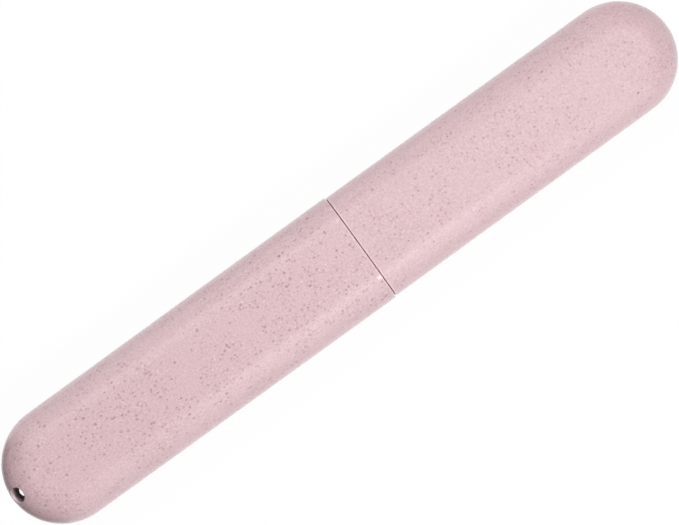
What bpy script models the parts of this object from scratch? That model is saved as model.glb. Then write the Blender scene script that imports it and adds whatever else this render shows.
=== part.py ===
"""Pull-apart travel case for one toothbrush, moulded in two halves.

The longer half, the body, carries a thin neck that the shorter half, the cap, slides over.
Both halves share one section, a flat slab with fully round sides, and close in a round dome.
The case lies on its flat underside, its long axis along X and the cap at +X.
Metres, +Z up, origin under the middle of the case.
"""

import math

import bmesh
import bpy
from mathutils import Matrix, Vector

# Driving dimensions
CASE_WIDTH = 0.0311  # across the body at its shoulder, round side to round side
CASE_THICKNESS = 0.0190  # through the body, flat face to flat face
BODY_LENGTH = 0.1090  # body, tip to shoulder
CAP_LENGTH = 0.0957  # cap, rim to tip
SEAM_GAP = 0.0003  # between the shoulder and the cap's rim when closed
CAP_STEP = 0.0003  # the cap's skin lies this far inside the body's
CAP_WALL = 0.0010
NECK_WALL = 0.00095
NECK_SLIP = 0.0002  # sliding room between the neck and the cap's bore, each side
NECK_LENGTH = 0.0180  # the neck, shoulder to mouth
MOULD_DRAFT = math.radians(0.08)  # both halves narrow this much towards their domes

# Edges
SHOULDER_ROUND = 0.0002
CAP_RIM_ROUND = 0.0002
NECK_LEAD_IN = 0.0004  # chamfer round the neck's mouth
CAP_LEAD_IN = 0.0003  # chamfer round the inside of the cap's rim

# Eye through the body's tip, which lets water out and takes a cord
EYE_ACROSS = 0.0040
EYE_ALONG = 0.0034
EYE_BAR = 0.00145  # material left between the eye and the tip

# Grip bead, a low ridge all round the neck
BEAD_BREADTH = 0.0014
BEAD_SLIP = 0.00008  # room left between the bead and the cap's bore
BEAD_FROM_MOUTH = 0.0070

# How finely curves are divided
SIDE_STEPS = 18
DOME_STEPS = 26
ROUND_STEPS = 3
EYE_STEPS = 28
BEAD_STEPS = 6

# Worked out from the sizes above
BODY_RADIUS = CASE_THICKNESS / 2
CAP_RADIUS = BODY_RADIUS - CAP_STEP
CAP_BORE_RADIUS = CAP_RADIUS - CAP_WALL
NECK_RADIUS = CAP_BORE_RADIUS - NECK_SLIP
BEAD_HEIGHT = NECK_SLIP - BEAD_SLIP
BODY_BORE_RADIUS = NECK_RADIUS - NECK_WALL
SEAM_CORE = CASE_WIDTH / 2 - BODY_RADIUS
SHOULDER_X = BODY_LENGTH - (BODY_LENGTH + SEAM_GAP + CAP_LENGTH) / 2

# Finish
STRAW_PINK = (0.74, 0.53, 0.56, 1.0)
SATIN_ROUGHNESS = 0.42

# Points nearer than this are one point, and angles over this stay sharp in the shading
MERGE_WITHIN = 1e-6
SHARP_ANGLE = math.radians(35)


def clear_scene():
    for obj in list(bpy.data.objects):
        bpy.data.objects.remove(obj, do_unlink=True)


def core_at(x):
    """Half the flat run of the section, at a distance x from the seam on either side."""
    return SEAM_CORE - math.tan(MOULD_DRAFT) * abs(x)


def dome_centre(length, radius):
    """Where the dome's round starts, so that a half of this length ends at its tip."""
    slope = math.tan(MOULD_DRAFT)
    return -(length - radius - SEAM_CORE) / (1 - slope)


def place_ring(verts, x, radius):
    """Moves one ring of section points to x, at a radius from the section's flat core."""
    half = core_at(x)
    for vert in verts:
        old_half = core_at(vert.co.x)
        core_y = max(-old_half, min(old_half, vert.co.y))
        outward = Vector((0, vert.co.y - core_y, vert.co.z)).normalized()
        vert.co = Vector((x, core_y * half / old_half, 0)) + outward * radius


def add_dome(bm, centre, radius):
    """Spins half a section about the upright line at centre. Returns the open ring's edges."""
    half = core_at(centre)
    outline = [(0, radius)]
    for step in range(SIDE_STEPS + 1):
        angle = math.pi / 2 - math.pi * step / SIDE_STEPS
        outline.append((half + radius * math.cos(angle), radius * math.sin(angle)))
    outline.append((0, -radius))
    verts = [bm.verts.new((centre, y, z)) for y, z in outline]
    edges = [bm.edges.new(pair) for pair in zip(verts, verts[1:])]
    before = set(bm.faces)
    bmesh.ops.spin(
        bm,
        geom=verts + edges,
        cent=(centre, 0, 0),
        axis=(0, 0, 1),
        angle=math.pi,
        steps=DOME_STEPS,
    )
    made = [face for face in bm.faces if face not in before]
    corners = list({vert for face in made for vert in face.verts})
    bmesh.ops.remove_doubles(bm, verts=corners, dist=MERGE_WITHIN)
    return [
        edge
        for edge in bm.edges
        if edge.is_boundary and all(abs(v.co.x - centre) < MERGE_WITHIN for v in edge.verts)
    ]


def grow(bm, ring, x, radius):
    """Extrudes an open ring of edges to a new place and radius. Returns the new ring."""
    made = bmesh.ops.extrude_edge_only(bm, edges=ring)["geom"]
    place_ring([g for g in made if isinstance(g, bmesh.types.BMVert)], x, radius)
    return [g for g in made if isinstance(g, bmesh.types.BMEdge) and g.is_boundary]


def grow_round(bm, ring, x, radius, size):
    """Turns an outer edge inwards over a quarter round that ends at x."""
    for step in range(ROUND_STEPS + 1):
        angle = math.pi / 2 * step / ROUND_STEPS
        along = x - size * (1 - math.sin(angle))
        ring = grow(bm, ring, along, radius - size * (1 - math.cos(angle)))
    return ring


def grow_bead(bm, ring, middle, radius):
    """Carries a ring over a low ridge with a round back."""
    for step in range(BEAD_STEPS + 1):
        angle = math.pi * step / BEAD_STEPS
        along = middle - BEAD_BREADTH / 2 * math.cos(angle)
        ring = grow(bm, ring, along, radius + BEAD_HEIGHT * math.sin(angle))
    return ring


def close_with_bore(bm, ring, length, tip_radius, bore_radius):
    """Joins the open ring at the mouth to an inner dome, concentric with the outer one."""
    inner = add_dome(bm, dome_centre(length, tip_radius), bore_radius)
    bmesh.ops.bridge_loops(bm, edges=ring + inner)
    bmesh.ops.recalc_face_normals(bm, faces=bm.faces)


def straw_plastic(name):
    made = bpy.data.materials.new(name)
    made.use_nodes = True
    shader = made.node_tree.nodes["Principled BSDF"]
    shader.inputs["Base Color"].default_value = STRAW_PINK
    shader.inputs["Roughness"].default_value = SATIN_ROUGHNESS
    shader.inputs["Metallic"].default_value = 0.0
    return made


def add_object(bm, name, location, parent=None, turn=0.0):
    mesh = bpy.data.meshes.new(name)
    bm.to_mesh(mesh)
    bm.free()
    mesh.shade_smooth()
    mesh.set_sharp_from_angle(angle=SHARP_ANGLE)
    obj = bpy.data.objects.new(name, mesh)
    obj.location = location
    obj.rotation_euler.z = turn
    obj.parent = parent
    bpy.context.scene.collection.objects.link(obj)
    return obj


def cut_eye(body):
    """Cuts the eye with an oval pin that stands upright through the whole of the body's tip."""
    bm = bmesh.new()
    round_pin = EYE_ALONG / 2
    bmesh.ops.create_cone(
        bm,
        cap_ends=True,
        segments=EYE_STEPS,
        radius1=round_pin,
        radius2=round_pin,
        depth=2 * CASE_THICKNESS,
    )
    middle = -BODY_LENGTH + EYE_BAR + EYE_ALONG / 2
    widen = Matrix.Scale(EYE_ACROSS / EYE_ALONG, 4, Vector((0, 1, 0)))
    bmesh.ops.transform(bm, matrix=widen, verts=bm.verts)
    bmesh.ops.translate(bm, vec=(middle, 0, 0), verts=bm.verts)
    pin = add_object(bm, "eye_pin", (0, 0, 0), body)
    pin.hide_render = True
    pin.display_type = "WIRE"
    cut = body.modifiers.new("eye", "BOOLEAN")
    cut.operation = "DIFFERENCE"
    cut.object = pin


def build_body(parent):
    """The longer half. Its own origin is on the long axis, in the plane of the shoulder."""
    bm = bmesh.new()
    ring = add_dome(bm, dome_centre(BODY_LENGTH, BODY_RADIUS), BODY_RADIUS)
    ring = grow_round(bm, ring, 0, BODY_RADIUS, SHOULDER_ROUND)
    ring = grow(bm, ring, 0, NECK_RADIUS)
    ring = grow_bead(bm, ring, NECK_LENGTH - BEAD_FROM_MOUTH, NECK_RADIUS)
    ring = grow(bm, ring, NECK_LENGTH - NECK_LEAD_IN, NECK_RADIUS)
    ring = grow(bm, ring, NECK_LENGTH, NECK_RADIUS - NECK_LEAD_IN)
    ring = grow(bm, ring, NECK_LENGTH, BODY_BORE_RADIUS)
    close_with_bore(bm, ring, BODY_LENGTH, BODY_RADIUS, BODY_BORE_RADIUS)
    body = add_object(bm, "case_body", (SHOULDER_X, 0, BODY_RADIUS), parent)
    body.data.materials.append(straw_plastic("straw_plastic_body"))
    cut_eye(body)


def build_cap(parent):
    """The shorter half, made like the body with its tip at its own -X, then turned round."""
    bm = bmesh.new()
    ring = add_dome(bm, dome_centre(CAP_LENGTH, CAP_RADIUS), CAP_RADIUS)
    ring = grow_round(bm, ring, 0, CAP_RADIUS, CAP_RIM_ROUND)
    ring = grow(bm, ring, 0, CAP_BORE_RADIUS + CAP_LEAD_IN)
    ring = grow(bm, ring, -CAP_LEAD_IN, CAP_BORE_RADIUS)
    close_with_bore(bm, ring, CAP_LENGTH, CAP_RADIUS, CAP_BORE_RADIUS)
    rim_x = SHOULDER_X + SEAM_GAP
    cap = add_object(bm, "case_cap", (rim_x, 0, BODY_RADIUS), parent, turn=math.pi)
    cap.data.materials.append(straw_plastic("straw_plastic_cap"))


def main():
    clear_scene()
    case = bpy.data.objects.new("toothbrush_case", None)
    bpy.context.scene.collection.objects.link(case)
    build_body(case)
    build_cap(case)


main()
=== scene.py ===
# %% [markdown]
# # A toothbrush travel case in speckled straw plastic
#
# The real case is two injection mouldings pushed together: a longer body with a drain eye at its
# tip, and a shorter cap that slides over a neck on the body. Its whole look is a long soft
# highlight, a hairline seam and a fine speckle of ground straw in pale pink plastic. The solids
# from the workshop model fix every size. This script makes both shells again as fine smooth
# meshes of the same size, gives them their plastic, and lights them like a shop photograph.

import math
from collections import namedtuple

import bmesh
import bpy
from mathutils import Matrix, Vector
from mathutils.geometry import interpolate_bezier


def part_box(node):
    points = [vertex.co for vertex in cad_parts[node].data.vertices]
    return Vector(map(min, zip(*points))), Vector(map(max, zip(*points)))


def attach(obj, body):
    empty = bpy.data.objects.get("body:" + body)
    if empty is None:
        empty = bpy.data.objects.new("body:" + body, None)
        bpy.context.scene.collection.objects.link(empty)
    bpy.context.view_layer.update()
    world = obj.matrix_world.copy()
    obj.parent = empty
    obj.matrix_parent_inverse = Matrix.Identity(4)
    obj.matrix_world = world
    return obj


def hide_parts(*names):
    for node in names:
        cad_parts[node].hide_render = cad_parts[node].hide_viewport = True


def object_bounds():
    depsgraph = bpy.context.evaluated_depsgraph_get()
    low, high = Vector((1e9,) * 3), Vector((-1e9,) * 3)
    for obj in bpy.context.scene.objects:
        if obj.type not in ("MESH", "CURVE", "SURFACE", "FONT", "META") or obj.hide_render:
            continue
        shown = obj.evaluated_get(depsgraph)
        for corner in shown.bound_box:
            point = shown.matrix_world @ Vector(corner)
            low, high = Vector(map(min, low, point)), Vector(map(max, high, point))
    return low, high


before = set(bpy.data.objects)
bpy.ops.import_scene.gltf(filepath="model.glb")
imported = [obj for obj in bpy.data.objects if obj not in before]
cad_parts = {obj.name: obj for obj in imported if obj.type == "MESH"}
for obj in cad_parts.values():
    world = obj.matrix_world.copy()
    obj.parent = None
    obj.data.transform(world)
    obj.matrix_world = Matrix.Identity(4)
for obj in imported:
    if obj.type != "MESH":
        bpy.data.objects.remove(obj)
cad_low, cad_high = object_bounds()
print("workshop model, mm:", [round(v * 1000, 2) for v in cad_high - cad_low])

# %% [markdown]
# ## The outer sizes
#
# Every size that the solids show is read from their boxes, so the fine shells can't drift from
# them. Both halves have fully round sides, so half their thickness is the radius of the side.

# %% Read the outer sizes from the two solids
body_low, body_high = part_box("case_body")
cap_low, cap_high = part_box("case_cap")

MID_Z = (body_low.z + body_high.z) / 2
BODY_RADIUS = (body_high.z - body_low.z) / 2
CAP_RADIUS = (cap_high.z - cap_low.z) / 2
SEAM_CORE = body_high.y - BODY_RADIUS
SEAM_GAP = 0.0003  # between the body's shoulder and the cap's rim
SHOULDER_X = cap_low.x - SEAM_GAP
BODY_LENGTH = SHOULDER_X - body_low.x
CAP_LENGTH = cap_high.x - cap_low.x
NECK_LENGTH = body_high.x - SHOULDER_X
print("body and cap lengths, mm:", round(BODY_LENGTH * 1000, 2), round(CAP_LENGTH * 1000, 2))

# %% [markdown]
# ## The hidden sizes
#
# The walls, the neck's sliding room, the grip bead and the eye are inside the solids, where a
# box can't see them. They are written here once, in metres, as a maker's drawing would give
# them, and the radii follow from them one by one, from the cap's skin in to the body's bore.

# %% Write the sizes that the boxes can't show
CAP_WALL = 0.0010
NECK_SLIP = 0.0002  # sliding room between the neck and the cap's bore, each side
NECK_WALL = 0.00095
MOULD_DRAFT = math.radians(0.08)  # both halves narrow this much towards their tips
CAP_BORE_RADIUS = CAP_RADIUS - CAP_WALL
NECK_RADIUS = CAP_BORE_RADIUS - NECK_SLIP
BODY_BORE_RADIUS = NECK_RADIUS - NECK_WALL

BEAD_FROM_MOUTH = 0.0070
BEAD_MIDDLE = NECK_LENGTH - BEAD_FROM_MOUTH
BEAD_BREADTH = 0.0014
BEAD_HEIGHT = 0.00012

EYE_ACROSS = 0.0040
EYE_ALONG = 0.0034
EYE_BAR = 0.00145  # plastic left between the eye and the tip
print("wall of the body, mm:", round((BODY_RADIUS - BODY_BORE_RADIUS) * 1000, 2))

# %% [markdown]
# ## The camera
#
# The photograph looks straight down on the case, which lies askew across the picture. So the
# camera hangs above the case's middle and is turned about the upright line by the angle that
# the long axis makes with the picture's edge. Its distance shows in the drain eye: the camera
# looks into that round hole at a slant, so it sees a dark stretch of the wall and only a thin
# lens of floor through the bottom, and one distance gives both their widths.

# %% Hang the camera over the case
PICTURE_WIDTH = 679
CASE_LONG_PIXELS = 805.0  # the case's length in the picture, at the height of its middle plane
AXIS_TILT = math.radians(35.9)  # the long axis against the picture's lower edge
EYE_DISTANCE = 0.390  # lens to the middle plane of the case
SENSOR_WIDTH = 0.036
AIM_ALONG = -0.00009  # the picture's centre is this far along the case from its middle
AIM_ASIDE = -0.00003  # and this far across it


def add_object(name, data):
    """Puts a camera, a mesh or a lamp into the scene."""
    obj = bpy.data.objects.new(name, data)
    bpy.context.scene.collection.objects.link(obj)
    return obj


metres_per_pixel = (cad_high.x - cad_low.x) / CASE_LONG_PIXELS
view_width = PICTURE_WIDTH * metres_per_pixel
camera_data = bpy.data.cameras.new("overhead_camera")
camera_data.sensor_width = SENSOR_WIDTH * 1000
camera_data.lens = SENSOR_WIDTH * 1000 * EYE_DISTANCE / view_width
camera = add_object("overhead_camera", camera_data)
camera.location = (AIM_ALONG, AIM_ASIDE, MID_Z + EYE_DISTANCE)
camera.rotation_euler = (0, 0, -AXIS_TILT)
bpy.context.scene.camera = camera
print("lens, mm:", round(camera_data.lens, 1))

# %% [markdown]
# ## The section
#
# Both halves share one section, a flat slab with fully round sides, like a flattened tube. Half
# of it is drawn from a single point: the spin operator swings the point round the side, and
# extruded points carry the line in along the flats. Where the two halves of the steel mould
# met, the real case has a hair-fine raised line, the flash, round its side. It is drawn into
# the outline as one point that stands out a little, so every later step carries it along.

# %% Draw half a section
ARC_STEPS = 40  # round one side
FLAT_STEPS = 4  # along half a flat
FLASH_BREADTH = 0.00020
FLASH_HEIGHT = 0.000025


def core_at(x):
    """Half the flat run of the section at x, the mouth being at 0 and the tip at -X."""
    return SEAM_CORE - math.tan(MOULD_DRAFT) * abs(x)


def swing(bm, vert, centre, axis, angle, steps):
    """Spins one point about an axis and returns the last copy."""
    made = bmesh.ops.spin(bm, geom=[vert], cent=centre, axis=axis, angle=angle, steps=steps)
    return [g for g in made["geom_last"] if isinstance(g, bmesh.types.BMVert)][0]


def draw_to(bm, vert, place):
    """Extrudes one point to a place and returns the new one."""
    made = bmesh.ops.extrude_vert_indiv(bm, verts=[vert])["verts"][0]
    made.co = place
    return made


def draw_half_section(bm, x, radius, flash):
    """Draws the outline from the top flat round the +Y side to the bottom flat."""
    half = core_at(x)
    side = (x, half, 0)
    flash_angle = math.atan(FLASH_BREADTH / 2 / radius)
    quarter = math.pi / 2 - flash_angle
    corner = bm.verts.new((x, half, radius))
    above = swing(bm, corner, side, (1, 0, 0), -quarter, ARC_STEPS // 2)
    crest = draw_to(bm, above, (x, half + radius + flash, 0))
    below = draw_to(bm, crest, (x, above.co.y, -above.co.z))
    foot = swing(bm, below, side, (1, 0, 0), -quarter, ARC_STEPS // 2)
    for start, height in ((corner, radius), (foot, -radius)):
        for step in range(1, FLAT_STEPS + 1):
            start = draw_to(bm, start, (x, half * (1 - step / FLAT_STEPS), height))


print("points in half a section:", ARC_STEPS + 2 * FLAT_STEPS + 3)

# %% [markdown]
# ## The shell of each half
#
# A half is a dome, a long straight run and an open mouth, all with the same wall. The dome is
# the half section spun half a turn about an upright line, which is how the real end gets its
# plan of a half circle. The run and the mouth are the dome's open ring extruded from station to
# station, as on a lathe. Lathe stations are used rather than a solidify modifier, because the
# neck, the bead and the thin cap wall all change the wall's thickness along the way.

# %% Helpers that spin a dome and carry its ring along
DOME_STEPS = 88
MERGE_WITHIN = 1e-7


def dome_centre(length, radius):
    """Where the dome's round starts, so that a half of this length ends at its tip."""
    return -(length - radius - SEAM_CORE) / (1 - math.tan(MOULD_DRAFT))


def spin_dome(bm, centre, radius, flash=0.0):
    """Spins half a section into a dome and returns the edges of its open ring."""
    before = set(bm.verts)
    draw_half_section(bm, centre, radius, flash)
    outline = [vert for vert in bm.verts if vert not in before]
    edges = [edge for edge in bm.edges if not before.issuperset(edge.verts)]
    bmesh.ops.spin(
        bm,
        geom=outline + edges,
        cent=(centre, 0, 0),
        axis=(0, 0, 1),
        angle=math.pi,
        steps=DOME_STEPS,
    )
    made = [vert for vert in bm.verts if vert not in before]
    bmesh.ops.remove_doubles(bm, verts=made, dist=MERGE_WITHIN)
    return [
        edge
        for edge in bm.edges
        if edge.is_boundary and all(abs(v.co.x - centre) < MERGE_WITHIN for v in edge.verts)
    ]


def ring_to(bm, ring, x, radius):
    """Extrudes an open ring to a new station and returns the new ring."""
    made = bmesh.ops.extrude_edge_only(bm, edges=ring)["geom"]
    verts = [g for g in made if isinstance(g, bmesh.types.BMVert)]
    old_radius = max(vert.co.z for vert in verts)
    for vert in verts:
        old_half = core_at(vert.co.x)
        core_y = max(-old_half, min(old_half, vert.co.y))
        spoke = Vector((0, vert.co.y - core_y, vert.co.z))
        reach = spoke.length + radius - old_radius
        vert.co = Vector((x, core_y * core_at(x) / old_half, 0)) + spoke.normalized() * reach
    return [g for g in made if isinstance(g, bmesh.types.BMEdge) and g.is_boundary]


def soften(bm, ring, size, segments):
    """Rounds a ring of edges."""
    bmesh.ops.bevel(
        bm,
        geom=[edge for edge in ring if edge.is_valid],
        affect="EDGES",
        offset=size,
        segments=segments,
        profile=0.5,
        material=-1,
    )


print("steps round a dome:", DOME_STEPS)

# %% [markdown]
# ## Support rings
#
# Smooth shading blends across a whole face, so a long face beside a small round would look
# bent. A ring close to each end of a straight run keeps the blend short. The bore needs the
# same rings, and a dome of its own on the outer dome's centre, and bridge_loops then joins the
# two skins at the mouth.

# %% Helpers for the straight run and the bore
HOLD = 0.0008  # distance from an edge to the ring that holds its shading


def run_straight(bm, ring, centre, radius):
    """Carries a dome's ring to just short of the mouth, with a ring near each end."""
    for x in (centre + HOLD, centre / 2, -3 * HOLD, -HOLD):
        ring = ring_to(bm, ring, x, radius)
    return ring


def bore_dome(bm, ring, centre, radius):
    """Makes the inner skin with its own dome and joins it to the ring at the mouth."""
    inner = spin_dome(bm, centre, radius)
    for x in (centre + HOLD, centre / 2, -HOLD):
        inner = ring_to(bm, inner, x, radius)
    bmesh.ops.bridge_loops(bm, edges=ring + inner)


print("support rings stand off, mm:", HOLD * 1000)

# %% [markdown]
# ### The body
#
# The outer skin runs from the dome to the shoulder, steps down over a low stop for the cap's rim
# to the neck, passes over the grip bead and turns in at the mouth. The stop closes the bottom of
# the seam, so the seam is a shallow dark line and only nicks the outline. In the photograph the
# seam lies a hair nearer to the body's tip than in the solids, so both its edges are shifted.

# %% Make the body's shell
SEAM_SHIFT = 0.00007  # the seam lies this much nearer the body's tip than in the solids
SHOULDER_ROUND = 0.00010
STOP_DEPTH = 0.00055  # from the body's skin down to the stop
STOP_BREADTH = 0.00018
STOP_ROUND = 0.00004
NECK_MOUTH_ROUND = 0.00030
BEAD_STEPS = 8


def body_shell(bm):
    centre = dome_centre(BODY_LENGTH, BODY_RADIUS)
    ring = spin_dome(bm, centre, BODY_RADIUS, FLASH_HEIGHT)
    ring = run_straight(bm, ring, centre, BODY_RADIUS)
    shoulder = ring_to(bm, ring, -SEAM_SHIFT, BODY_RADIUS)
    ring = ring_to(bm, shoulder, -SEAM_SHIFT, BODY_RADIUS - STOP_DEPTH)
    stop = ring_to(bm, ring, STOP_BREADTH, BODY_RADIUS - STOP_DEPTH)
    ring = ring_to(bm, stop, STOP_BREADTH, NECK_RADIUS)
    ring = ring_to(bm, ring, HOLD, NECK_RADIUS)
    for step in range(BEAD_STEPS + 1):
        angle = math.pi * step / BEAD_STEPS
        along = BEAD_MIDDLE - BEAD_BREADTH / 2 * math.cos(angle)
        ring = ring_to(bm, ring, along, NECK_RADIUS + BEAD_HEIGHT * math.sin(angle))
    ring = ring_to(bm, ring, NECK_LENGTH - HOLD, NECK_RADIUS)
    mouth = ring_to(bm, ring, NECK_LENGTH, NECK_RADIUS)
    inner_mouth = ring_to(bm, mouth, NECK_LENGTH, BODY_BORE_RADIUS)
    ring = ring_to(bm, inner_mouth, NECK_LENGTH - HOLD, BODY_BORE_RADIUS)
    bore_dome(bm, ring, centre, BODY_BORE_RADIUS)
    bmesh.ops.recalc_face_normals(bm, faces=bm.faces)
    soften(bm, shoulder, SHOULDER_ROUND, 6)
    soften(bm, stop, STOP_ROUND, 2)
    soften(bm, mouth + inner_mouth, NECK_MOUTH_ROUND, 4)


body_bm = bmesh.new()
body_shell(body_bm)
print("body shell faces:", len(body_bm.faces))

# %% [markdown]
# ### The cap
#
# The cap is made the same way with its mouth at the origin. Its wall is thin all the way, so
# the rim has two rounds, one outside, which shows as half of the seam, and one inside, which
# leads the neck in. It is then turned half a turn, because its tip points the other way.

# %% Make the cap's shell
CAP_RIM_ROUND = 0.00010
CAP_LEAD_IN = 0.00028


def cap_shell(bm):
    centre = dome_centre(CAP_LENGTH, CAP_RADIUS)
    ring = spin_dome(bm, centre, CAP_RADIUS, FLASH_HEIGHT)
    ring = run_straight(bm, ring, centre, CAP_RADIUS)
    rim = ring_to(bm, ring, SEAM_SHIFT, CAP_RADIUS)
    inner_rim = ring_to(bm, rim, SEAM_SHIFT, CAP_BORE_RADIUS)
    ring = ring_to(bm, inner_rim, -HOLD / 2, CAP_BORE_RADIUS)
    bore_dome(bm, ring, centre, CAP_BORE_RADIUS)
    bmesh.ops.recalc_face_normals(bm, faces=bm.faces)
    soften(bm, rim, CAP_RIM_ROUND, 6)
    soften(bm, inner_rim, CAP_LEAD_IN, 4)


cap_bm = bmesh.new()
cap_shell(cap_bm)
print("cap shell faces:", len(cap_bm.faces))

# %% [markdown]
# ## The drain eye
#
# The eye is an upright oval hole through the very tip, so its mouths lie on the steep part of
# the dome and break into the hollow behind. A boolean with an upright oval pin, like the steel
# pin in the real mould, is the sure way to cut walls that curve like these.

# %% Cut the eye through the body's tip
EYE_STEPS = 56
EYE_X = -BODY_LENGTH + EYE_BAR + EYE_ALONG / 2
EYE_HALF_ALONG = EYE_ALONG / 2
EYE_HALF_ACROSS = EYE_ACROSS / 2


def mesh_of(bm, name):
    """Writes a bmesh as a mesh. Operators make edges and faces in any order, so it sorts them."""
    bm.verts.index_update()
    for sequence in (bm.edges, bm.faces):
        ordered = sorted(sequence, key=lambda item: sorted(vert.index for vert in item.verts))
        for number, item in enumerate(ordered):
            item.index = number
        sequence.sort()
    mesh = bpy.data.meshes.new(name)
    bm.to_mesh(mesh)
    bm.free()
    return mesh


def eye_pin():
    """The oval steel pin that leaves the eye in the moulding."""
    bm = bmesh.new()
    bmesh.ops.create_cone(
        bm,
        cap_ends=True,
        segments=EYE_STEPS,
        radius1=EYE_HALF_ALONG,
        radius2=EYE_HALF_ALONG,
        depth=3 * BODY_RADIUS,
    )
    bmesh.ops.scale(bm, vec=(1, EYE_HALF_ACROSS / EYE_HALF_ALONG, 1), verts=bm.verts)
    bmesh.ops.translate(bm, vec=(EYE_X, 0, 0), verts=bm.verts)
    return mesh_of(bm, "eye_pin")


def cut_away(bm, cutter_mesh):
    """Returns a new bmesh: bm less the cutter. Both helper objects are removed again."""
    blank = add_object("uncut", mesh_of(bm, "uncut"))
    cutter = add_object("cutter", cutter_mesh)
    cut = blank.modifiers.new("cut", "BOOLEAN")
    cut.operation = "DIFFERENCE"
    cut.solver = "EXACT"
    cut.object = cutter
    depsgraph = bpy.context.evaluated_depsgraph_get()
    result = bmesh.new()
    result.from_object(blank, depsgraph)
    bpy.data.objects.remove(blank)
    bpy.data.objects.remove(cutter)
    return result


body_bm = cut_away(body_bm, eye_pin())
print("faces after the cut:", len(body_bm.faces))

# %% [markdown]
# ### The lip of the eye
#
# The bar that is left between the eye and the tip is what a cord pulls on, so the real one is
# rounded like a rod, while the rest of the mouth has only a small round. So each point of the
# mouth gets its own curve: a Bezier that leaves the wall upright and lands along the skin. Its
# reach and its handles grow from the small round to the rod as the point nears the tip.

# %% Work out the curve from the eye's wall to the skin
EYE_ROUND = 0.00025  # how far out the curve lands at the sides and the far end
ROUND_PULL = 0.55  # length of the curve's handles there, as a share of its reach
BAR_REACH = 0.0011  # how far out it lands at the tip end
BAR_PULL = 0.90
BAR_FOOT = 0.0024  # height over the middle plane at which it leaves the wall there
LIP_STEPS = 12
SMALL_STEP = 0.00001
UP = Vector((0, 0, 1))
BODY_CENTRE = dome_centre(BODY_LENGTH, BODY_RADIUS)


def dome_height(point):
    """Height of the body's outer dome over a point of the plan."""
    plan = math.hypot(point.x - BODY_CENTRE, point.y) - core_at(BODY_CENTRE)
    return math.sqrt(max(BODY_RADIUS**2 - max(plan, 0) ** 2, 0))


def on_dome(point):
    return Vector((point.x, point.y, dome_height(point)))


def out_of_oval(point):
    """Direction out of the oval at a point on it, seen from above."""
    slope = Vector(((point.x - EYE_X) / EYE_HALF_ALONG**2, point.y / EYE_HALF_ACROSS**2, 0))
    return slope.normalized()


def blend(first, second, share):
    return first + (second - first) * share


def lip_curve(start):
    """Points of the curve at one place on the upper mouth, from the wall out to the skin."""
    out = out_of_oval(start)
    to_tip = max(0.0, -out.x) ** 2
    reach = blend(EYE_ROUND, BAR_REACH, to_tip)
    pull = reach * blend(ROUND_PULL, BAR_PULL, to_tip)
    foot = blend(dome_height(start) - EYE_ROUND, BAR_FOOT, to_tip)
    wall = Vector((start.x, start.y, foot))
    skin = on_dome(start + out * reach)
    inward = (on_dome(skin - out * SMALL_STEP) - skin).normalized()
    return interpolate_bezier(wall, wall + UP * pull, skin + inward * pull, skin, LIP_STEPS + 1)


print("points in one curve of the lip:", LIP_STEPS + 1)

# %% [markdown]
# ### What is taken out round each mouth
#
# The boolean leaves a knife edge, which no moulding has, so the band of dome round each mouth
# is taken out before it is built again. A face goes when it touches the ring on which the new
# curves land, or lies within it. The ring is told by direction and distance from the eye's
# middle, because it is no circle: it lies far out at the bar and close in at the sides.

# %% Helpers that tell which skin goes
EYE_MARGIN = 0.00010  # extra skin taken away, so that the new band has room to join on
ON_SKIN = 0.00002  # a point this near a surface lies on it
NO_SIZE = 1e-9


def outside_oval(point):
    """How far a point lies outside the eye's oval, seen from above."""
    along, across = point.x - EYE_X, point.y
    ratio = math.hypot(along / EYE_HALF_ALONG, across / EYE_HALF_ACROSS)
    return math.hypot(along, across) * (1 - 1 / max(ratio, NO_SIZE))


def on_outer_dome(vert):
    return vert.co.x < BODY_CENTRE and abs(abs(vert.co.z) - dome_height(vert.co)) < ON_SKIN


def seen_from_eye(point):
    """Direction and distance of a point from the eye's middle, seen from above."""
    return math.atan2(point.y, point.x - EYE_X), math.hypot(point.x - EYE_X, point.y)


def is_taken(point, landings):
    """Whether a point lies within the ring where the curves land, or just outside it."""
    angle, distance = seen_from_eye(point)
    nearest = min(landings, key=lambda spot: abs(math.remainder(spot[0] - angle, math.tau)))
    return distance < nearest[1] + EYE_MARGIN


print("skin goes this far past the landing ring, mm:", EYE_MARGIN * 1000)

# %% [markdown]
# ### Round over the mouths
#
# With the band gone, the hole's wall ends in an open ring. It is lowered to the foot of its
# curves and extruded along them step by step until it lies on the dome, and bridge_loops closes
# the gap to the skin that was left. The lower mouth is the same with its heights turned over.

# %% Round over the eye's two mouths


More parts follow.
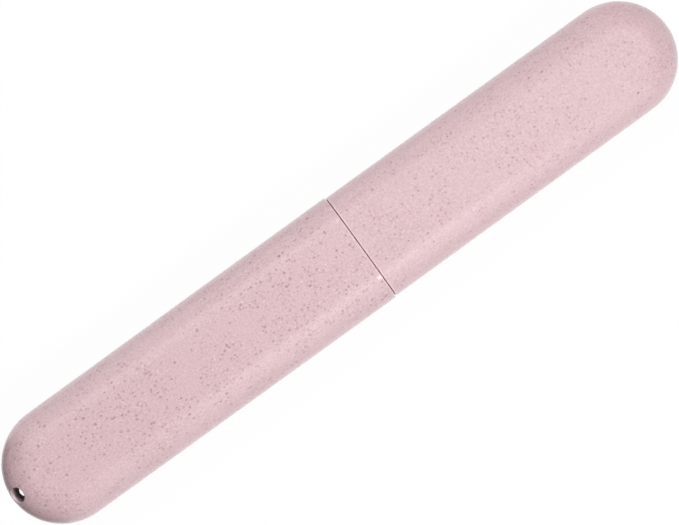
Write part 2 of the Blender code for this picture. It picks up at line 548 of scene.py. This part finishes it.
def round_mouth(bm, side):
    """Rebuilds the band of dome round the eye's mouth above (side 1) or below (side -1)."""
    skin = [f for f in bm.faces if all(on_outer_dome(v) and v.co.z * side > 0 for v in f.verts)]
    skin_faces = set(skin)
    on_mouth = {
        vert
        for face in skin
        for vert in face.verts
        if abs(outside_oval(vert.co)) < ON_SKIN and not skin_faces.issuperset(vert.link_faces)
    }
    curves = {vert: lip_curve(vert.co) for vert in on_mouth}
    landings = [seen_from_eye(curve[-1]) for curve in curves.values()]
    near = [f for f in skin if any(is_taken(v.co, landings) for v in f.verts)]
    band = set(near)
    mouth = [
        edge
        for edge in bm.edges
        if sum(face in band for face in edge.link_faces) == 1
        and all(vert in on_mouth for vert in edge.verts)
    ]
    bmesh.ops.delete(bm, geom=near, context="FACES")
    joined = set(mouth)
    skin_edge = [
        edge
        for edge in bm.edges
        if edge.is_boundary and edge not in joined and edge.verts[0].co.z * side > 0
    ]
    for vert, curve in curves.items():
        vert.co.z = side * curve[0].z
    ring = mouth
    for step in range(1, LIP_STEPS + 1):
        made = bmesh.ops.extrude_edge_only(bm, edges=ring)["geom"]
        grown = {}
        for vert in (g for g in made if isinstance(g, bmesh.types.BMVert)):
            old = next(e.other_vert(vert) for e in vert.link_edges if e.other_vert(vert) in curves)
            grown[vert] = curves[old]
            place = grown[vert][step]
            vert.co = (place.x, place.y, side * place.z)
        curves = grown
        ring = [g for g in made if isinstance(g, bmesh.types.BMEdge) and g.is_boundary]
    bmesh.ops.bridge_loops(bm, edges=ring + skin_edge)
    return len(ring), len(skin_edge)


for side in (1, -1):
    print("eye mouth and skin edges joined:", round_mouth(body_bm, side))
bmesh.ops.recalc_face_normals(body_bm, faces=body_bm.faces)

# %% [markdown]
# ## Hand the shells over
#
# Each shell is moved from its drawing place into the case's own frame inside its mesh, so the
# finished object stays at the origin, unturned. It then stands for its solid and rides on the
# same body, so the cap slides when the joint does.

# %% Turn a bmesh into a finished piece
SHARP_ANGLE = math.radians(40)


def finish_piece(bm, name, place, node, body):
    bmesh.ops.transform(bm, matrix=place, verts=bm.verts)
    mesh = mesh_of(bm, name)
    mesh.shade_smooth()
    mesh.set_sharp_from_angle(angle=SHARP_ANGLE)
    piece = add_object(name, mesh)
    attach(piece, body)
    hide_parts(node)
    print(name, "triangles:", sum(len(p.vertices) - 2 for p in mesh.polygons))
    return piece


body_place = Matrix.Translation((SHOULDER_X, 0, MID_Z))
cap_place = Matrix.Translation((cap_low.x, 0, MID_Z)) @ Matrix.Rotation(math.pi, 4, "Z")
body_piece = finish_piece(body_bm, "body_shell", body_place, "case_body", "body")
cap_piece = finish_piece(cap_bm, "cap_shell", cap_place, "case_cap", "cap")

# %% [markdown]
# ## Nodes for patterns
#
# The plastic's patterns are made by nodes alone, so there is no picture that has to be stretched
# over the round ends. A pattern that is used several times is a shader group, a small machine
# with named sockets, and inside it most nodes do one step of arithmetic. Two helpers make both.

# %% Helpers that make groups and arithmetic
MM = 1000.0  # cells per metre for a pattern of one cell per millimetre


def new_group(name, inputs, outputs):
    """A shader group with named float, vector or colour sockets."""
    group = bpy.data.node_groups.new(name, "ShaderNodeTree")
    for label, kind, value in inputs:
        socket = group.interface.new_socket(label, in_out="INPUT", socket_type=kind)
        if value is not None:
            socket.default_value = value
    for label, kind in outputs:
        group.interface.new_socket(label, in_out="OUTPUT", socket_type=kind)
    return group, group.nodes.new("NodeGroupInput"), group.nodes.new("NodeGroupOutput")


def math_node(tree, operation, first, second=None, third=None, clamp=False):
    """A Math node fed by sockets or plain numbers. Returns its output."""
    node = tree.nodes.new("ShaderNodeMath")
    node.operation = operation
    node.use_clamp = clamp
    for slot_number, source in enumerate((first, second, third)):
        if source is None:
            continue
        if isinstance(source, (int, float)):
            node.inputs[slot_number].default_value = source
        else:
            tree.links.new(source, node.inputs[slot_number])
    return node.outputs[0]


print("cells per metre in a pattern of millimetres:", MM)

# %% [markdown]
# ## Straw specks
#
# The plastic is filled with ground straw. Close up it shows as soft brownish-pink dots of a
# quarter to three quarters of a millimetre, thick in some patches and thin in others, with a
# few darker husks. Each grain is a ball round the seed point of a 3-D Voronoi cell, so the
# surface cuts some grains at their middle and some near their edge, and sizes vary by
# themselves. One group makes one kind of grain, and a material places it once for each kind.

# %% Build the speck group
FEW_STRONG = 2.5  # the higher, the fewer grains have their full strength


def build_speck_group():
    group, entry, leave = new_group(
        "straw_specks",
        [
            ("Vector", "NodeSocketVector", None),
            ("Cells", "NodeSocketFloat", 1.0 * MM),
            ("Smallest", "NodeSocketFloat", 0.2 / MM),
            ("Largest", "NodeSocketFloat", 0.4 / MM),
            ("Share", "NodeSocketFloat", 0.5),
            ("Softness", "NodeSocketFloat", 0.5),
            ("Faintest", "NodeSocketFloat", 0.3),
        ],
        [("Mask", "NodeSocketFloat")],
    )
    voronoi = group.nodes.new("ShaderNodeTexVoronoi")
    voronoi.voronoi_dimensions = "3D"
    voronoi.feature = "F1"
    group.links.new(entry.outputs["Vector"], voronoi.inputs["Vector"])
    group.links.new(entry.outputs["Cells"], voronoi.inputs["Scale"])
    chance = group.nodes.new("ShaderNodeSeparateColor")
    group.links.new(voronoi.outputs["Color"], chance.inputs["Color"])

    spread = math_node(group, "SUBTRACT", entry.outputs["Largest"], entry.outputs["Smallest"])
    smallest = entry.outputs["Smallest"]
    size = math_node(group, "MULTIPLY_ADD", chance.outputs["Green"], spread, smallest)
    radius = math_node(group, "MULTIPLY", size, entry.outputs["Cells"])
    depth = math_node(group, "SUBTRACT", radius, voronoi.outputs["Distance"])
    edge = math_node(group, "MULTIPLY", radius, entry.outputs["Softness"])
    inside = math_node(group, "DIVIDE", depth, edge, clamp=True)

    kept = math_node(group, "LESS_THAN", chance.outputs["Red"], entry.outputs["Share"])
    deep = math_node(group, "POWER", chance.outputs["Blue"], FEW_STRONG)
    span = math_node(group, "SUBTRACT", 1.0, entry.outputs["Faintest"])
    strength = math_node(group, "MULTIPLY_ADD", deep, span, entry.outputs["Faintest"])
    shown = math_node(group, "MULTIPLY", inside, kept)
    group.links.new(math_node(group, "MULTIPLY", shown, strength), leave.inputs["Mask"])
    return group


speck_group = build_speck_group()
print("speck group sockets:", [item.name for item in speck_group.interface.items_tree])

# %% [markdown]
# ## The satin skin
#
# The steel mould was finely blasted, so the skin isn't a mirror: it scatters a lamp into a
# broad soft sheen. A group puts out a roughness that wanders a little over centimetres, and the
# height of a very fine grain, which the material turns into a normal later.

# %% Build the satin group
PATCHES = 0.12 * MM  # the scale on which the roughness wanders


def noise(tree, vector, scale, detail):
    node = tree.nodes.new("ShaderNodeTexNoise")
    node.inputs["Scale"].default_value = scale
    node.inputs["Detail"].default_value = detail
    tree.links.new(vector, node.inputs["Vector"])
    return node.outputs["Fac"]


def build_satin_group():
    group, entry, leave = new_group(
        "satin_skin",
        [
            ("Vector", "NodeSocketVector", None),
            ("Roughness", "NodeSocketFloat", 0.42),
            ("Wander", "NodeSocketFloat", 0.04),
            ("Grain Height", "NodeSocketFloat", 0.000002),
            ("Grains", "NodeSocketFloat", 5.0 * MM),
        ],
        [("Roughness", "NodeSocketFloat"), ("Height", "NodeSocketFloat")],
    )
    patches = noise(group, entry.outputs["Vector"], PATCHES, 3.0)
    centred = math_node(group, "SUBTRACT", patches, 0.5)
    swing_by = math_node(group, "MULTIPLY", centred, entry.outputs["Wander"])
    rough = math_node(group, "ADD", entry.outputs["Roughness"], swing_by)
    group.links.new(rough, leave.inputs["Roughness"])

    grain = group.nodes.new("ShaderNodeTexNoise")
    grain.inputs["Detail"].default_value = 2.0
    group.links.new(entry.outputs["Grains"], grain.inputs["Scale"])
    group.links.new(entry.outputs["Vector"], grain.inputs["Vector"])
    height = math_node(group, "MULTIPLY", grain.outputs["Fac"], entry.outputs["Grain Height"])
    group.links.new(height, leave.inputs["Height"])
    return group


satin_group = build_satin_group()
print("satin group sockets:", [item.name for item in satin_group.interface.items_tree])

# %% [markdown]
# ## The ground colour
#
# The pink itself isn't even. A fine grain makes it deeper and paler within a millimetre, and
# slow clouds, the same ones that carry the straw, shift it a little over centimetres. Every
# colour after it is laid over it through a mask, so the whole finish is one chain of mixes.

# %% Mix the ground pink
PINK_PALE = (0.811, 0.569, 0.605)
PINK_DEEP = (0.666, 0.462, 0.491)
MOTTLE = 1.9 * MM
MOTTLE_CONTRAST = 2.5
MOTTLE_LEVEL = -0.55
DRIFT_PULL = -0.4  # how far a cloud of straw deepens the pink


def colour(rgb):
    return (*rgb, 1.0)


def ground_pink(tree, vector, drift):
    grain = noise(tree, vector, MOTTLE, 1.0)
    fine = math_node(tree, "MULTIPLY_ADD", grain, MOTTLE_CONTRAST, MOTTLE_LEVEL)
    pale = math_node(tree, "MULTIPLY_ADD", drift, DRIFT_PULL, fine, clamp=True)
    base = tree.nodes.new("ShaderNodeMix")
    base.data_type = "RGBA"
    base.inputs["A"].default_value = colour(PINK_DEEP)
    base.inputs["B"].default_value = colour(PINK_PALE)
    tree.links.new(pale, base.inputs["Factor"])
    return base.outputs["Result"]


def lay(tree, under, over, mask, depth):
    """Lays a colour over another through a mask, at a depth of nought to one."""
    node = tree.nodes.new("ShaderNodeMix")
    node.data_type = "RGBA"
    tree.links.new(under, node.inputs["A"])
    node.inputs["B"].default_value = colour(over)
    tree.links.new(math_node(tree, "MULTIPLY", mask, depth), node.inputs["Factor"])
    return node.outputs["Result"]


print("pale and deep pink:", PINK_PALE, PINK_DEEP)

# %% [markdown]
# ## The straw
#
# Light flecks come first, then fine dots, short fibres and last the few dark husks. Fibres are
# the same grains in a space that is squeezed along one line, which draws them out. One table
# lists the kinds, so the chain is a loop over it. How many grains there are goes with slow
# drifts, and on the body it falls from the seam to the tip, as the melt carried the straw.

# %% List the kinds of grain and place them
FLECK_LIGHT = (0.93, 0.70, 0.735)
STRAW_BROWN = (0.34, 0.125, 0.15)
HUSK_DARK = (0.15, 0.02, 0.035)
FIBRE = (0.35, 1.1, (0.14, 0.24), 0.16, 0.6, 0.3, 0.7)  # all fibres, from squeeze to depth
DRIFTS = 0.11 * MM
DRIFT_CONTRAST = 7.5
DRIFT_LEVEL = -2.75

# Cells are per millimetre and radii in millimetres. The share is of all the straw.
Grain = namedtuple("Grain", "colour turn squeeze cells radii share softness faintest depth")
GRAINS = (
    Grain(FLECK_LIGHT, (0, 0, 0), 1.0, 1.05, (0.20, 0.38), 0.75, 0.7, 0.3, 0.85),
    Grain(STRAW_BROWN, (0, 0, 0), 1.0, 1.00, (0.22, 0.55), 0.78, 0.7, 0.4, 0.62),
    Grain(STRAW_BROWN, (0.2, 0.1, 0.5), *FIBRE),
    Grain(STRAW_BROWN, (0.4, 0.9, 2.2), *FIBRE),
    Grain(STRAW_BROWN, (0.9, 0.3, 3.9), *FIBRE),
    Grain(HUSK_DARK, (0.3, 0.2, 1.1), 0.6, 0.62, (0.20, 0.32), 0.30, 0.5, 0.5, 0.8),
)


def axes(tree, vector):
    """The X, Y and Z of a vector."""
    node = tree.nodes.new("ShaderNodeSeparateXYZ")
    tree.links.new(vector, node.inputs["Vector"])
    return node.outputs


def straw_amount(tree, place, vector, near_seam, near_tip):
    """How much straw there is at a place, and the slow drifts in it."""
    from_seam = tree.nodes.new("ShaderNodeMapRange")
    from_seam.inputs["From Min"].default_value = 0.0
    from_seam.inputs["From Max"].default_value = CAP_LENGTH
    from_seam.inputs["To Min"].default_value = near_seam
    from_seam.inputs["To Max"].default_value = near_tip
    past = math_node(tree, "SUBTRACT", axes(tree, place)["X"], SHOULDER_X)
    tree.links.new(math_node(tree, "ABSOLUTE", past), from_seam.inputs["Value"])
    drift = noise(tree, vector, DRIFTS, 3.0)
    swell = math_node(tree, "MULTIPLY_ADD", drift, DRIFT_CONTRAST, DRIFT_LEVEL)
    return math_node(tree, "MULTIPLY", from_seam.outputs["Result"], swell), drift


def mapped(tree, vector, shift=(0, 0, 0), turn=(0, 0, 0), scale=(1, 1, 1)):
    """A vector that a Mapping node has scaled, turned and shifted."""
    node = tree.nodes.new("ShaderNodeMapping")
    for label, value in (("Location", shift), ("Rotation", turn), ("Scale", scale)):
        node.inputs[label].default_value = value
    tree.links.new(vector, node.inputs["Vector"])
    return node.outputs["Vector"]


def grain_mask(tree, vector, straw, grain):
    """Places the speck group for one kind of grain, in its own turned and squeezed space."""
    space = mapped(tree, vector, turn=grain.turn, scale=(grain.squeeze, 1, 1))
    node = tree.nodes.new("ShaderNodeGroup")
    node.node_tree = speck_group
    tree.links.new(space, node.inputs["Vector"])
    tree.links.new(math_node(tree, "MULTIPLY", straw, grain.share), node.inputs["Share"])
    node.inputs["Cells"].default_value = grain.cells * MM
    node.inputs["Smallest"].default_value = grain.radii[0] / MM
    node.inputs["Largest"].default_value = grain.radii[1] / MM
    node.inputs["Softness"].default_value = grain.softness
    node.inputs["Faintest"].default_value = grain.faintest
    return node.outputs["Mask"]


print("kinds of grain:", len(GRAINS))

# %% [markdown]
# ## Painted highlights, painted shade and polish
#
# In the eye, shade is painted on the wall across from the tip, low down, and a highlight is
# painted pale on the bar close to each mouth. At the seam, a highlight is painted along a hair of
# both lips, the cap's rim has polished the body's lip, and shade is painted on the stop, at the
# floor of the groove. All of these are masks of the place on the piece alone, so they move with
# their half.

# %% Helpers for the masks of painted highlight and painted shade
EYE_WALL = (1.06, 1.0)  # the painted shade ends between these, as shares of the eye's oval
EYE_SHADE_SLANT = 4.5  # how steeply the painted shade's upper edge rises from the tip's side of the eye
EYE_SHADE_TOP = 0.0018  # the painted shade starts this high over the middle plane at the bar
EYE_SHADE_FULL = -0.0010
BAR_SPAN = (-0.80, -1.05)  # the bar starts between these, in half lengths of the eye
BAR_OUT = (1.95, 1.70)  # and its painted highlight ends between these, as shares of the eye's oval
BAR_HIGHLIGHT_FROM = 0.0012  # the painted highlight starts this far over or under the middle plane
BAR_HIGHLIGHT_FULL = 0.0026


def ramp(tree, value, start, end):
    """A soft step from nought at start to one at end."""
    node = tree.nodes.new("ShaderNodeMapRange")
    node.interpolation_type = "SMOOTHSTEP"
    node.inputs["From Min"].default_value = start
    node.inputs["From Max"].default_value = end
    tree.links.new(value, node.inputs["Value"])
    return node.outputs["Result"]


def eye_painted_shade(tree, place, ratio):
    """Where shade is painted low on the eye's wall."""
    slant = tree.nodes.new("ShaderNodeVectorMath")
    slant.operation = "DOT_PRODUCT"
    slant.inputs[1].default_value = (-EYE_SHADE_SLANT, 0, 1)
    tree.links.new(place, slant.inputs[0])
    level = MID_Z + EYE_SHADE_SLANT * (cad_high.x - EYE_BAR)
    low = ramp(tree, slant.outputs["Value"], level + EYE_SHADE_TOP, level + EYE_SHADE_FULL)
    return math_node(tree, "MULTIPLY", low, ramp(tree, ratio, *EYE_WALL))


def eye_masks(tree, place):
    """Where shade is painted low in the eye, and where a highlight is painted on the bar by the
    tip.
    """
    middle = (-(SHOULDER_X + EYE_X) / EYE_HALF_ALONG, 0, 0)
    oval = mapped(tree, place, middle, scale=(1 / EYE_HALF_ALONG, 1 / EYE_HALF_ACROSS, 0))
    length = tree.nodes.new("ShaderNodeVectorMath")
    length.operation = "LENGTH"
    tree.links.new(oval, length.inputs[0])
    ratio = length.outputs["Value"]
    at_tip = ramp(tree, axes(tree, oval)["X"], *BAR_SPAN)
    on_bar = math_node(tree, "MULTIPLY", at_tip, ramp(tree, ratio, *BAR_OUT))
    over_middle = math_node(tree, "SUBTRACT", axes(tree, place)["Z"], MID_Z)
    height = math_node(tree, "ABSOLUTE", over_middle)
    bar_highlight = math_node(tree, "MULTIPLY", on_bar, ramp(tree, height, BAR_HIGHLIGHT_FROM, BAR_HIGHLIGHT_FULL))
    return eye_painted_shade(tree, place, ratio), bar_highlight


def from_rim(tree, place, rim_x, outwards):
    """How far a place lies from the rim of its own half, along the case."""
    past = math_node(tree, "SUBTRACT", axes(tree, place)["X"], rim_x)
    return math_node(tree, "MULTIPLY", past, outwards)


def band(tree, value, edges):
    """One between the two middle edges, falling to nought at the two outer ones."""
    rise = ramp(tree, value, edges[0], edges[1])
    return math_node(tree, "MULTIPLY", rise, ramp(tree, value, edges[3], edges[2]))


# Prints where the painted highlight on the eye's bar starts.
print("the rubbing starts this far from the middle plane, mm:", BAR_HIGHLIGHT_FROM * 1000)

# %% [markdown]
# ## The gloss
#
# Satin plastic mirrors more where it is seen at a slant, so a Layer Weight node lowers the
# roughness there. Layer Weight is used for gloss alone, never for colour. The body's lip is
# polished by the cap's rim, and the stop and the neck by its bore.

# %% Helpers for the gloss
GLANCE_SPAN = (0.30, 0.75)  # the slant at which it starts and is full, 0 square on, 1 edge on
GLANCE_SHARE = 0.62  # share of the roughness that is left at a full slant
LIP_BURNISHED = (0.0013, 0.0010)  # the body's lip is polished out to between these
LIP_GLOSS = 0.42
STOP_INSIDE = (0.00002, -0.00004)  # from the rim in, the stop and the neck start here
STOP_GLOSS = 0.60


def lessen(tree, roughness, mask, share):
    """Leaves only a share of the roughness where the mask is one."""
    kept = math_node(tree, "MULTIPLY_ADD", mask, share - 1, 1.0)
    return math_node(tree, "MULTIPLY", roughness, kept)


def glancing_gloss(tree, roughness):
    slant = tree.nodes.new("ShaderNodeLayerWeight")
    slant.inputs["Blend"].default_value = 0.5
    return lessen(tree, roughness, ramp(tree, slant.outputs["Facing"], *GLANCE_SPAN), GLANCE_SHARE)


def body_gloss(tree, roughness, rim):
    roughness = lessen(tree, roughness, ramp(tree, rim, *LIP_BURNISHED), LIP_GLOSS)
    return lessen(tree, roughness, ramp(tree, rim, *STOP_INSIDE), STOP_GLOSS)


print("roughness left at a full slant:", GLANCE_SHARE)

# %% [markdown]
# ## The resin film
#
# The filled plastic under the skin has a low index, and the film of pure resin that moulding
# brings to the surface is a coat over it. Both are the same all over the case, so they are set
# as plain values on the shader's own sockets.

# %% Helpers that start a material and set its even values
PLASTIC_IOR = 1.3
COAT_IOR = 1.5
COAT_ROUGHNESS = 0.45


def new_material(name):
    material = bpy.data.materials.new(name)
    material.use_nodes = True
    return material, material.node_tree.nodes["Principled BSDF"]


def plain_values(shader):
    shader.inputs["Metallic"].default_value = 0.0
    shader.inputs["IOR"].default_value = PLASTIC_IOR
    shader.inputs["Coat Weight"].default_value = 1.0
    shader.inputs["Coat IOR"].default_value = COAT_IOR
    shader.inputs["Coat Roughness"].default_value = COAT_ROUGHNESS


print("index of the plastic and of its coat:", PLASTIC_IOR, COAT_IOR)

# %% [markdown]
# ## The straw plastic
#
# The finish is a chain of layers, each mixed over the one before: the ground pink, the kinds of
# straw, then painted highlights and painted shade, which lie over all of them. Where the shade is
# painted in the eye the roughness is full. The satin skin's height goes through one Bump node,
# because it is far too fine for the mesh.

# %% Mix the straw plastic
# Painted highlight on the eye's bar by the tip.
BAR_PAINTED_HIGHLIGHT = (0.93, 0.80, 0.83)
# Painted highlight along a hair of both lips at the seam.
LIP_PAINTED_HIGHLIGHT = (0.97, 0.78, 0.81)
# Painted shade low on the eye's wall.
EYE_PAINTED_SHADE = (0.115, 0.010, 0.018)
# Painted shade on the stop, at the floor of the seam's groove.
SEAM_PAINTED_SHADE = (0.18, 0.012, 0.022)
SEAM_SHADE_BAND = (-0.00024, -0.00022, -0.00003, -0.00001)  # minus is past the rim, in the groove
BAR_HIGHLIGHT_DEPTH = 0.7  # how strongly each layer of painted highlight or painted shade covers what is under it
LIP_HIGHLIGHT_DEPTH = 0.60
PAINTED_SHADE_DEPTH = 0.95


def straw_plastic(name, offset, near_seam, near_tip, rim_x, outwards, lip):
    material, shader = new_material(name)
    tree = material.node_tree
    plain_values(shader)

    place = tree.nodes.new("ShaderNodeTexCoord").outputs["Object"]
    vector = mapped(tree, place, offset)
    straw, drift = straw_amount(tree, place, vector, near_seam, near_tip)
    mixed = ground_pink(tree, vector, drift)
    for grain in GRAINS:
        mask = grain_mask(tree, vector, straw, grain)
        mixed = lay(tree, mixed, grain.colour, mask, grain.depth)

    eye_shade, bar_highlight = eye_masks(tree, place)
    rim = from_rim(tree, place, rim_x, outwards)
    # Painted highlights on the eye's bar and the seam's lips, then painted shade in the seam's
    # groove and low in the eye.
    mixed = lay(tree, mixed, BAR_PAINTED_HIGHLIGHT, bar_highlight, BAR_HIGHLIGHT_DEPTH)
    mixed = lay(tree, mixed, LIP_PAINTED_HIGHLIGHT, band(tree, rim, lip), LIP_HIGHLIGHT_DEPTH)
    mixed = lay(tree, mixed, SEAM_PAINTED_SHADE, band(tree, rim, SEAM_SHADE_BAND), PAINTED_SHADE_DEPTH)
    mixed = lay(tree, mixed, EYE_PAINTED_SHADE, eye_shade, PAINTED_SHADE_DEPTH)
    tree.links.new(mixed, shader.inputs["Base Color"])

    satin = tree.nodes.new("ShaderNodeGroup")
    satin.node_tree = satin_group
    tree.links.new(vector, satin.inputs["Vector"])
    roughness = glancing_gloss(tree, satin.outputs["Roughness"])
    if outwards < 0:
        roughness = body_gloss(tree, roughness, rim)
    tree.links.new(math_node(tree, "MAXIMUM", roughness, eye_shade), shader.inputs["Roughness"])
    bump = tree.nodes.new("ShaderNodeBump")
    bump.inputs["Distance"].default_value = 1.0
    bump.inputs["Strength"].default_value = 1.0
    tree.links.new(satin.outputs["Height"], bump.inputs["Height"])
    tree.links.new(bump.outputs["Normal"], shader.inputs["Normal"])
    return material


# Prints how strongly the painted highlights and painted shade cover the bar, a lip and a groove.
print("how far wear covers the bar, a lip and a groove:", BAR_HIGHLIGHT_DEPTH, LIP_HIGHLIGHT_DEPTH, PAINTED_SHADE_DEPTH)

# %% [markdown]
# ## The two halves
#
# The two halves come from two shots of the same batch, so they share one recipe, each with its
# own pattern offset, its own amount of straw and its own rim.

# %% Give each half its plastic
BODY_LIP = (0.00002, 0.00008, 0.00018, 0.00030)  # painted highlight from and to here, from the rim outwards
# The cap's lip carries its painted highlight between these.
CAP_LIP = (0.00002, 0.00010, 0.00026, 0.00045)
body_material = straw_plastic(
    "body_straw_plastic",
    offset=(0.013, 0.027, 0.041),
    near_seam=1.75,
    near_tip=0.92,
    rim_x=SHOULDER_X - SEAM_SHIFT,
    outwards=-1,
    lip=BODY_LIP,
)
cap_material = straw_plastic(
    "cap_straw_plastic",
    offset=(0.151, 0.083, 0.022),
    near_seam=0.50,
    near_tip=0.55,
    rim_x=cap_low.x - SEAM_SHIFT,
    outwards=1,
    lip=CAP_LIP,
)
body_piece.data.materials.append(body_material)
cap_piece.data.materials.append(cap_material)
print("materials:", [m.name for m in bpy.data.materials if "straw" in m.name])

# %% [markdown]
# ## The floor
#
# The photograph is a shop picture: white all round, with no shadow left in it. The floor is
# near white. To the camera and in reflections it mostly shines plain white, with a share of its
# real shading left in, so that a trace of the case's shadow stays. Right under the case its
# shine is kept out of reflections, because the case shades that patch, and the hole's walls
# would otherwise mirror a white that isn't there.

# %% Lay the floor
FLOOR_SIZE = 6.0
FLOOR_DROP = 0.00002  # keeps the floor just clear of the case's underside
FLOOR_WHITE = 0.80
FLOOR_GLOW = 0.93  # share of plain white that seen floor has
GLOW_STRENGTH = 1.02
SHADE_HALF_LENGTH = (cad_high.x - cad_low.x) / 2
SHADE_HALF_WIDTH = 0.013


def seen_rays(tree, reflections=None):
    """One for rays that come from the eye, a see-through surface or a reflection."""
    path = tree.nodes.new("ShaderNodeLightPath")
    glossy = path.outputs["Is Glossy Ray"]
    if reflections is not None:
        glossy = math_node(tree, "MULTIPLY", glossy, reflections)
    seen = math_node(tree, "MAXIMUM", path.outputs["Is Camera Ray"], glossy)
    return math_node(tree, "MAXIMUM", seen, path.outputs["Is Transmission Ray"])


def clear_of_case(tree):
    """One where the floor lies open, nought under the case."""
    place = axes(tree, tree.nodes.new("ShaderNodeTexCoord").outputs["Object"])
    along = math_node(tree, "ABSOLUTE", place["X"])
    past_end = math_node(tree, "GREATER_THAN", along, SHADE_HALF_LENGTH)
    across = math_node(tree, "ABSOLUTE", place["Y"])
    past_side = math_node(tree, "GREATER_THAN", across, SHADE_HALF_WIDTH)
    return math_node(tree, "MAXIMUM", past_end, past_side)


def floor_material():
    material, shader = new_material("floor_white")
    material.cycles.emission_sampling = "NONE"
    tree = material.node_tree
    shader.inputs["Base Color"].default_value = colour((FLOOR_WHITE,) * 3)
    shader.inputs["Roughness"].default_value = 0.9
    shader.inputs["Specular IOR Level"].default_value = 0.0
    glow = tree.nodes.new("ShaderNodeEmission")
    glow.inputs["Strength"].default_value = GLOW_STRENGTH
    blend = tree.nodes.new("ShaderNodeMixShader")
    share = math_node(tree, "MULTIPLY", seen_rays(tree, clear_of_case(tree)), FLOOR_GLOW)
    tree.links.new(share, blend.inputs["Fac"])
    tree.links.new(shader.outputs["BSDF"], blend.inputs[1])
    tree.links.new(glow.outputs["Emission"], blend.inputs[2])
    tree.links.new(blend.outputs["Shader"], tree.nodes["Material Output"].inputs["Surface"])
    return material


floor_bm = bmesh.new()
bmesh.ops.create_grid(floor_bm, x_segments=1, y_segments=1, size=FLOOR_SIZE / 2)
bmesh.ops.translate(floor_bm, vec=(0, 0, -FLOOR_DROP), verts=floor_bm.verts)
floor = add_object("floor", mesh_of(floor_bm, "floor"))
floor.data.materials.append(floor_material())
print("floor, m:", FLOOR_SIZE)

# %% [markdown]
# ## The world
#
# Above the horizon the world does the same: white to the camera and in reflections, while as a
# light it is only the dim even glow that a pale room gives from every side.

# %% Light the world
AMBIENT = 0.156
world = bpy.data.worlds.new("studio")
world.use_nodes = True
world.cycles.sampling_method = "NONE"
bpy.context.scene.world = world
world_tree = world.node_tree
room = world_tree.nodes["Background"]
room.inputs["Color"].default_value = colour((1, 1, 1))
room_level = math_node(world_tree, "MAXIMUM", seen_rays(world_tree), AMBIENT)
world_tree.links.new(room_level, room.inputs["Strength"])
print("ambient light:", AMBIENT)

# %% [markdown]
# ## The lamps
#
# The highlights tell where the lamps stood. The flat top mirrors the camera itself, so the
# light that whitens it came from nearly overhead, shifted a little towards the cap. The round
# sides carry one highlight each, where their slope is about 18 degrees, so each mirrors a lamp
# at about 36 degrees from the upright, the right one stronger. Low wide lamps fill the flanks,
# and two close to the horizon graze the edges. Angles are more telling than places here, so the
# table gives each lamp by its angles, and all of them hang at one distance.

# %% Hang the lamps
LAMP_DISTANCE = 1.0
LAMPS = (
    # name, degrees across and along the case from the upright, length, breadth, watts
    ("overhead_softbox", 0, 15, 0.45, 0.60, 2.54),
    ("right_key", -36, 3, 0.16, 0.20, 2.04),
    ("right_strip", -36, 3, 0.30, 0.08, 0.90),
    ("right_low_softbox", -65, 12, 0.60, 0.35, 1.52),
    ("right_graze", -79, 8, 0.60, 0.20, 0.55),
    ("left_key", 33, -3, 0.20, 0.10, 1.46),
    ("left_softbox", 42, -12, 0.50, 0.30, 1.39),
    ("left_graze", 80, -8, 0.60, 0.20, 1.10),
)


def hang_lamp(name, across, along, length, breadth, watts):
    lamp = bpy.data.lights.new(name, "AREA")
    lamp.shape = "RECTANGLE"
    lamp.size = length
    lamp.size_y = breadth
    lamp.energy = watts
    ray = Vector((math.tan(math.radians(along)), math.tan(math.radians(across)), 1)).normalized()
    long_way = (Vector((1, 0, 0)) - ray * ray.x).normalized()
    turn = Matrix((long_way, ray.cross(long_way), ray)).transposed()
    holder = add_object(name, lamp)
    holder.location = ray * LAMP_DISTANCE
    holder.rotation_euler = turn.to_euler()


for row in LAMPS:
    hang_lamp(*row)
print("lamps:", len(LAMPS), "and their power, W:", round(sum(row[-1] for row in LAMPS), 2))

# %% [markdown]
# ## The black card
#
# The body's dome is darker at its rim than the cap's, as when a black card lies round that end.
# This one is a fan on the floor, cut round the dome, that folds up at its far edge. It takes
# light away from the dome's steep skin and shows in its reflections. It isn't seen itself, and
# casts no shadow on the floor, because its camera and shadow visibility are off.

# %% Lay the black card round the body's tip
CARD_START = 0.0122  # from the dome's rim to the card's near edge
CARD_FAR = 0.60  # from the dome's middle to the far edge
CARD_HALF_ANGLE = math.radians(55)
CARD_STEPS = 16
CARD_LIFT = 0.0005  # over the floor
CARD_HEIGHT = 0.80
CARD_BLACK = 0.01


def card_material():
    material, shader = new_material("card_black")
    shader.inputs["Base Color"].default_value = colour((CARD_BLACK,) * 3)
    shader.inputs["Roughness"].default_value = 1.0
    shader.inputs["Specular IOR Level"].default_value = 0.0
    return material


def black_card():
    bm = bmesh.new()
    middle = Vector((SHOULDER_X + BODY_CENTRE, 0, CARD_LIFT))
    near = middle.x - cad_low.x + CARD_START
    side = Matrix.Rotation(-CARD_HALF_ANGLE, 3, "Z") @ Vector((-near, 0, 0))
    first = bm.verts.new(middle + side)
    swing(bm, first, middle, (0, 0, 1), 2 * CARD_HALF_ANGLE, CARD_STEPS)
    ring = list(bm.edges)
    for grow, rise in ((CARD_FAR / near, 0), (1, CARD_HEIGHT)):
        made = bmesh.ops.extrude_edge_only(bm, edges=ring)["geom"]
        for vert in (g for g in made if isinstance(g, bmesh.types.BMVert)):
            spoke = vert.co - middle
            vert.co = middle + Vector((spoke.x * grow, spoke.y * grow, rise))
        ring = [g for g in made if isinstance(g, bmesh.types.BMEdge) and len(g.link_faces) == 1]
        ring = [edge for edge in ring if all(vert in made for vert in edge.verts)]
    card = add_object("black_card", mesh_of(bm, "black_card"))
    card.data.materials.append(card_material())
    card.visible_camera = False
    card.visible_shadow = False


black_card()
print("black card, m:", CARD_FAR, "by", CARD_HEIGHT)

# %% [markdown]
# ## The view
#
# The plain Standard view shows a colour as it was written.

# %% Set the view
bpy.context.scene.view_settings.view_transform = "Standard"
